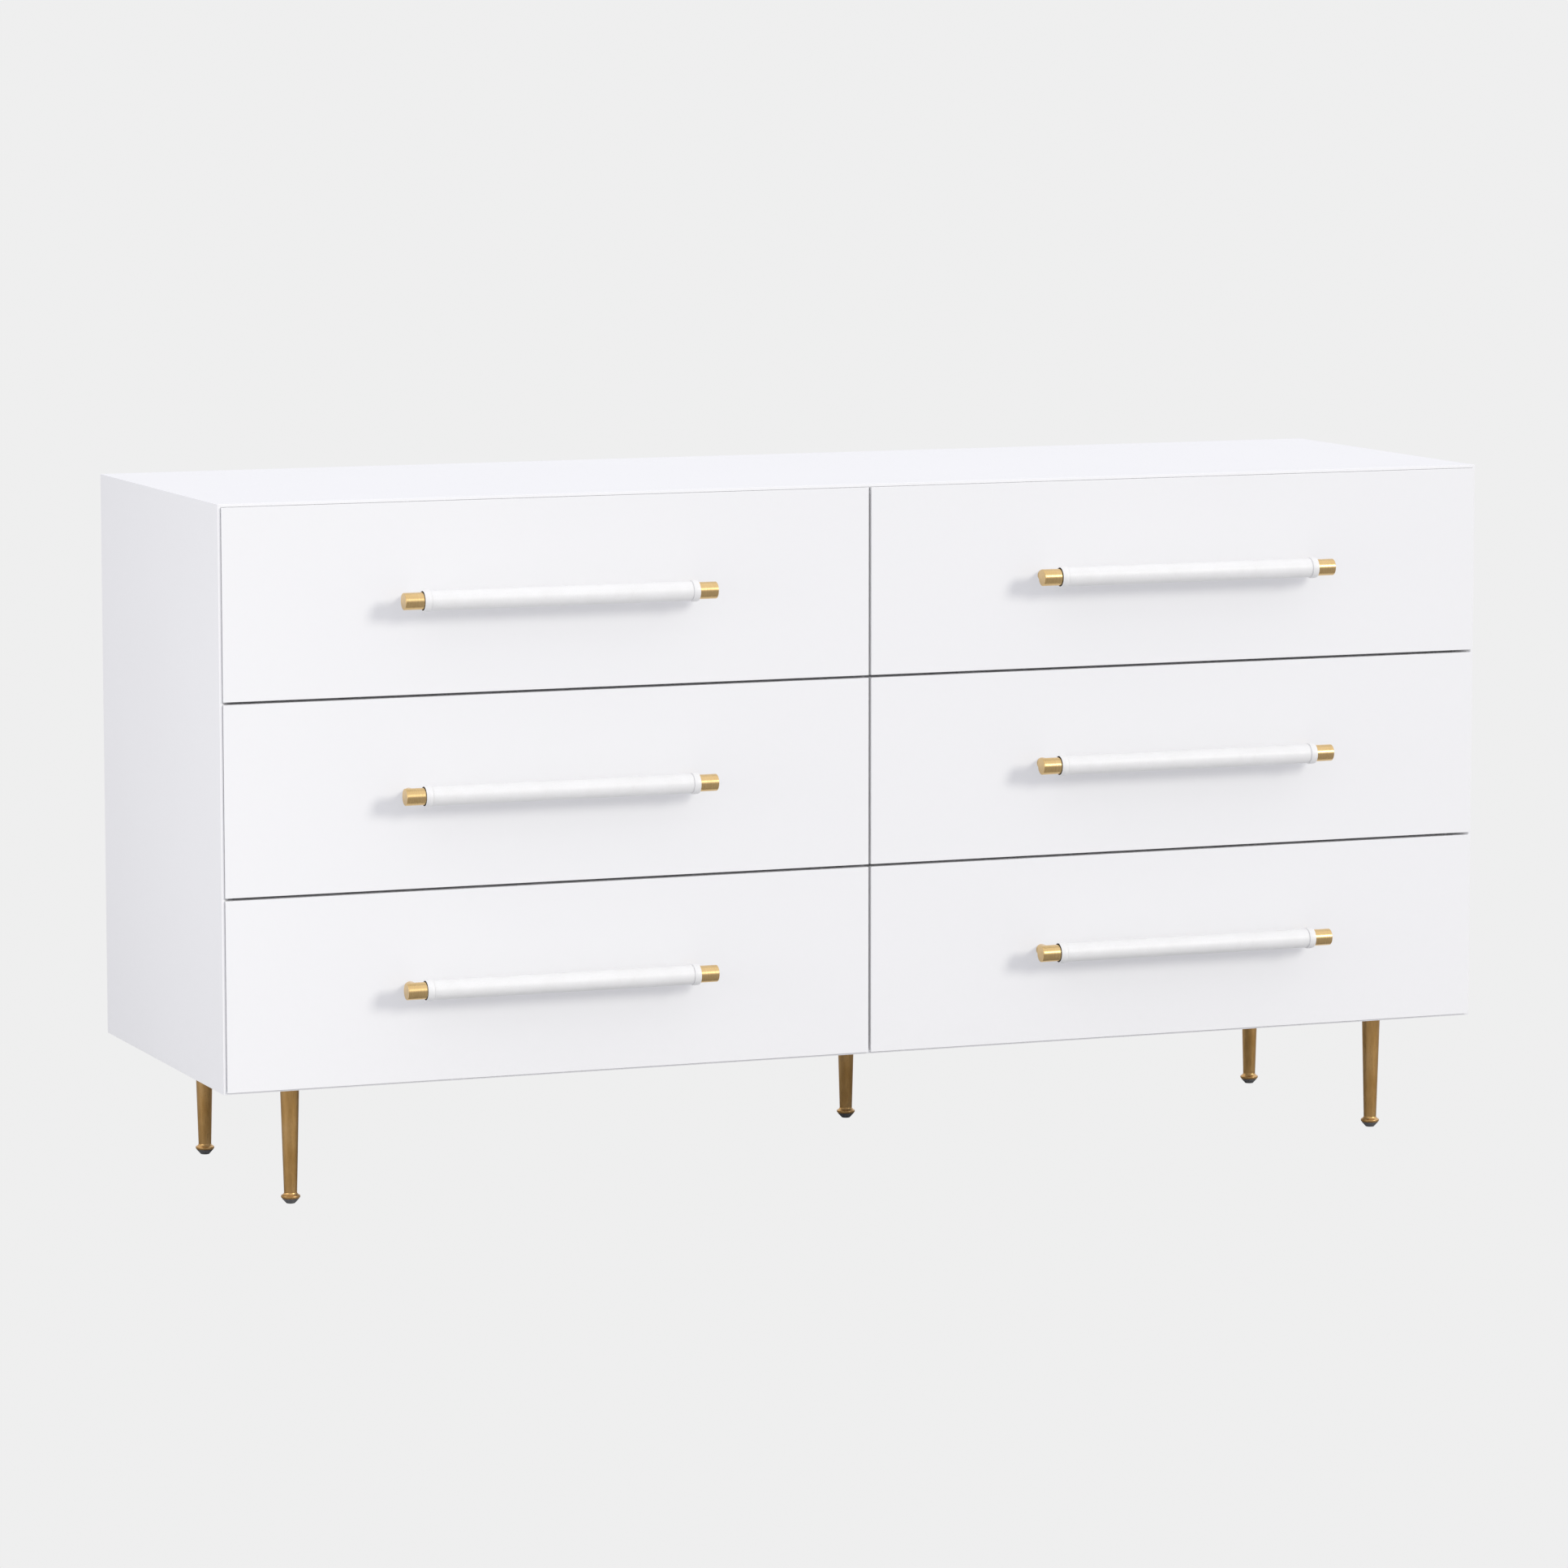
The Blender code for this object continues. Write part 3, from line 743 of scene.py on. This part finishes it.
def build_handle_screws(name, materials):
    """The two screws and washers inside the drawer that hold its handle."""
    low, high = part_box(f"{name}_handle_bar")
    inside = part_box(f"{name}_front")[1].y
    height = middle(f"{name}_handle_bar").z
    profile = [(0, WASHER_THICKNESS), (WASHER_RADIUS, WASHER_THICKNESS), (WASHER_RADIUS, 0),
               (0, 0)]
    washer = turned(fillet(profile, [0, WASHER_ROUND, 0, 0], closed=False), WASHER_SEGMENTS)
    for title, mesh, lift in (("washers", washer, 0),
                              ("screws", materials["screw"], WASHER_THICKNESS)):
        places = [frame_at((x, inside + lift, height), X, Y)
                  for x in (low.x + POST_INSET, high.x - POST_INSET)]
        add_piece(f"{name}_handle_{title}", copies(mesh, places), [materials["steel"]], name)


def build_drawers(materials):
    for name in DRAWERS:
        add_piece(f"{name}_slab", softened(f"{name}_front", ARRIS), [materials["lacquer"]], name,
                  [f"{name}_front"])
        build_drawer_box(name, materials)
    build_handles(materials)


# ---- the legs ---------------------------------------------------------------------------

def leg_profile(top, base):
    return fillet([(0, top), (LEG_TOP_RADIUS, top), LEG_ANKLE, LEG_FLARE,
                   (COLLAR_RADIUS, COLLAR_TOP), (COLLAR_RADIUS, COLLAR_FOOT),
                   (GLIDE_TOP_RADIUS, base), (0, base)],
                  [0, 0.0004, 0.002, 0.0005, 0.0007, 0.0007, 0.0003, 0], closed=False)


def glide_profile(top):
    return fillet([(0, top), (GLIDE_TOP_RADIUS, top), (GLIDE_FOOT_RADIUS, 0), (0, 0)],
                  [0, 0.0003, 0.0006, 0], closed=False)


def build_legs(materials):
    low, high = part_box("leg_centre")
    leg = turned(leg_profile(high.z, low.z))
    glide = turned(glide_profile(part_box("glide_centre")[1].z))
    for title in ("front_left", "front_right", "back_left", "back_right", "centre"):
        centre = middle(f"leg_{title}")
        place = Matrix.Translation((centre.x, centre.y, 0))
        add_piece(f"turned_leg_{title}", leg, [materials["antique"]], "case",
                  [f"leg_{title}"], place)
        add_piece(f"moulded_glide_{title}", glide, [materials["plastic"]], "case",
                  [f"glide_{title}"], place)


# ---- the studio -------------------------------------------------------------------------

def build_camera():
    data = bpy.data.cameras.new("camera")
    data.lens = CAMERA_LENS
    data.clip_end = 3 * FLOOR_REACH
    camera = bpy.data.objects.new("camera", data)
    camera.location = CAMERA_PLACE
    camera.rotation_euler = [math.radians(angle) for angle in CAMERA_TURN]
    bpy.context.scene.collection.objects.link(camera)
    bpy.context.scene.camera = camera


def build_floor():
    """A wide pale floor: evenly lit to the eye, duller in the light it bounces and in metal."""
    material = bpy.data.materials.new("studio_floor")
    material.use_nodes = True
    material.cycles.emission_sampling = "NONE"
    tree = material.node_tree
    tree.nodes.clear()
    path = add_node(tree, "ShaderNodeLightPath")
    colour = mix_by(tree, path.outputs["Is Glossy Ray"], (*FLOOR_COLOUR, 1.0),
                    (*FLOOR_IN_METAL, 1.0))
    lit = add_node(tree, "ShaderNodeBsdfDiffuse", {"Color": colour})
    even = add_node(tree, "ShaderNodeEmission", {"Color": (*BACKDROP, 1.0)})
    mixed = add_node(tree, "ShaderNodeMixShader", {0: path.outputs["Is Camera Ray"],
                                                   1: lit.outputs[0], 2: even.outputs[0]})
    add_node(tree, "ShaderNodeOutputMaterial", {"Surface": mixed.outputs[0]})
    bm = bmesh.new()
    bmesh.ops.create_grid(bm, size=FLOOR_REACH)
    floor = bpy.data.objects.new("floor", to_mesh(bm))
    floor.data.materials.append(material)
    bpy.context.scene.collection.objects.link(floor)


def build_sky():
    """A soft sky that is brighter overhead. The eye sees it as plain as the floor."""
    world = bpy.data.worlds.new("studio")
    world.use_nodes = True
    tree = world.node_tree
    tree.nodes.clear()
    towards = add_node(tree, "ShaderNodeTexCoord").outputs["Generated"]
    height = add_node(tree, "ShaderNodeSeparateXYZ", {"Vector": towards}).outputs["Z"]
    colour = ramp(tree, height, (0.0, SKY_LOW), (1.0, SKY_HIGH))
    light = add_node(tree, "ShaderNodeBackground", {"Color": colour})
    plain = add_node(tree, "ShaderNodeBackground", {"Color": (*BACKDROP, 1.0)})
    seen = add_node(tree, "ShaderNodeLightPath").outputs["Is Camera Ray"]
    mixed = add_node(tree, "ShaderNodeMixShader",
                     {0: seen, 1: light.outputs[0], 2: plain.outputs[0]})
    add_node(tree, "ShaderNodeOutputWorld", {"Surface": mixed.outputs[0]})
    world.cycles.sampling_method = "NONE"
    bpy.context.scene.world = world


def add_light(name, kind, energy, place, aim, **settings):
    data = bpy.data.lights.new(name, kind)
    data.energy = energy
    for key, value in settings.items():
        setattr(data, key, value)
    light = bpy.data.objects.new(name, data)
    light.location = place
    light.rotation_euler = (Vector(place) - Vector(aim)).to_track_quat("Z", "Y").to_euler()
    bpy.context.scene.collection.objects.link(light)


def build_studio():
    build_camera()
    build_floor()
    build_sky()
    aim = Vector((0, 0, 0.4))
    add_light("key", "SUN", KEY_STRENGTH, aim + Vector(KEY_FROM), aim,
              angle=math.radians(KEY_SOFTNESS), color=KEY_COLOUR)
    add_light("fill", "AREA", FILL_POWER, FILL_PLACE, aim, size=FILL_SIZE)
    bpy.context.scene.view_settings.view_transform = "Standard"


build_studio()
looks = {"lacquer": white_lacquer(), "plywood": drawer_plywood(), "brass": satin_brass(),
         "antique": antique_brass(), "leather": white_leather(), "fold_mouth_painted_shade": fold_mouth_painted_shade(),
         "thread": white_thread(), "plastic": grey_plastic(), "steel": zinc_steel(),
         "screw": screw_head(SCREW_RADIUS, SCREW_HEIGHT)}
build_case(looks)
build_drawers(looks)
build_legs(looks)
